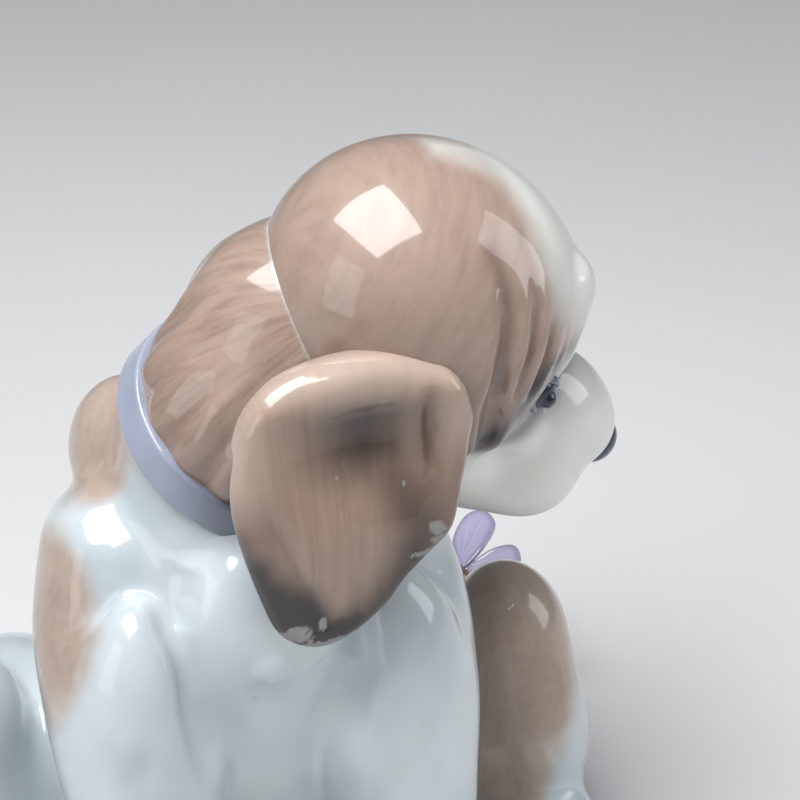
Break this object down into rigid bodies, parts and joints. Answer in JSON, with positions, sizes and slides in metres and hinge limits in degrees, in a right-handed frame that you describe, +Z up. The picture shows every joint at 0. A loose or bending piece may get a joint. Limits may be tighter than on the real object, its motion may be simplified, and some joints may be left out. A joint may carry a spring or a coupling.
{
  "type": "seated puppy figurine",
  "caption": "Glazed porcelain puppy seated on its rump, head turned over its left shoulder towards a butterfly on its tail, with hanging ears and a flat collar.",
  "frame": {"origin": "in the flat foot, on the puppy's own middle plane, under the joint between torso and neck", "axes": "+Z up, -Y the way the chest faces, +X the puppy's own left, which is where its head is turned"},
  "size_m": [0.129, 0.118, 0.1373],
  "materials": {
    "white_glaze": "white porcelain under a clear glaze with a cool bluish cast, brown patches airbrushed under it",
    "brown_glaze": "soft warm brown underglaze with darker hair strokes and a white blaze, clear gloss",
    "dark_brown_glaze": "brown underglaze that darkens to grey-black at the tip of the ear, hair strokes, clear gloss",
    "lavender_glaze": "lavender-blue glaze, satin gloss",
    "insect_brown_glaze": "dark brown glaze",
    "wing_glaze": "pale lavender glaze, darker towards the wing's edge"
  },
  "bodies": {
    "root": {"torso_shell": "white_glaze", "neck_shell": "brown_glaze", "head_shell": "brown_glaze", "collar_band": "lavender_glaze", "right_ear": "dark_brown_glaze", "left_ear": "dark_brown_glaze", "right_foreleg": "white_glaze", "left_foreleg": "white_glaze", "left_hind_leg": "white_glaze", "right_hind_leg": "white_glaze", "tail": "white_glaze", "butterfly_body": "insect_brown_glaze", "butterfly_antennae": "insect_brown_glaze", "butterfly_right_fore_wing": "wing_glaze", "butterfly_left_fore_wing": "wing_glaze", "butterfly_right_hind_wing": "wing_glaze", "butterfly_left_hind_wing": "wing_glaze"}
  },
  "joints": []
}
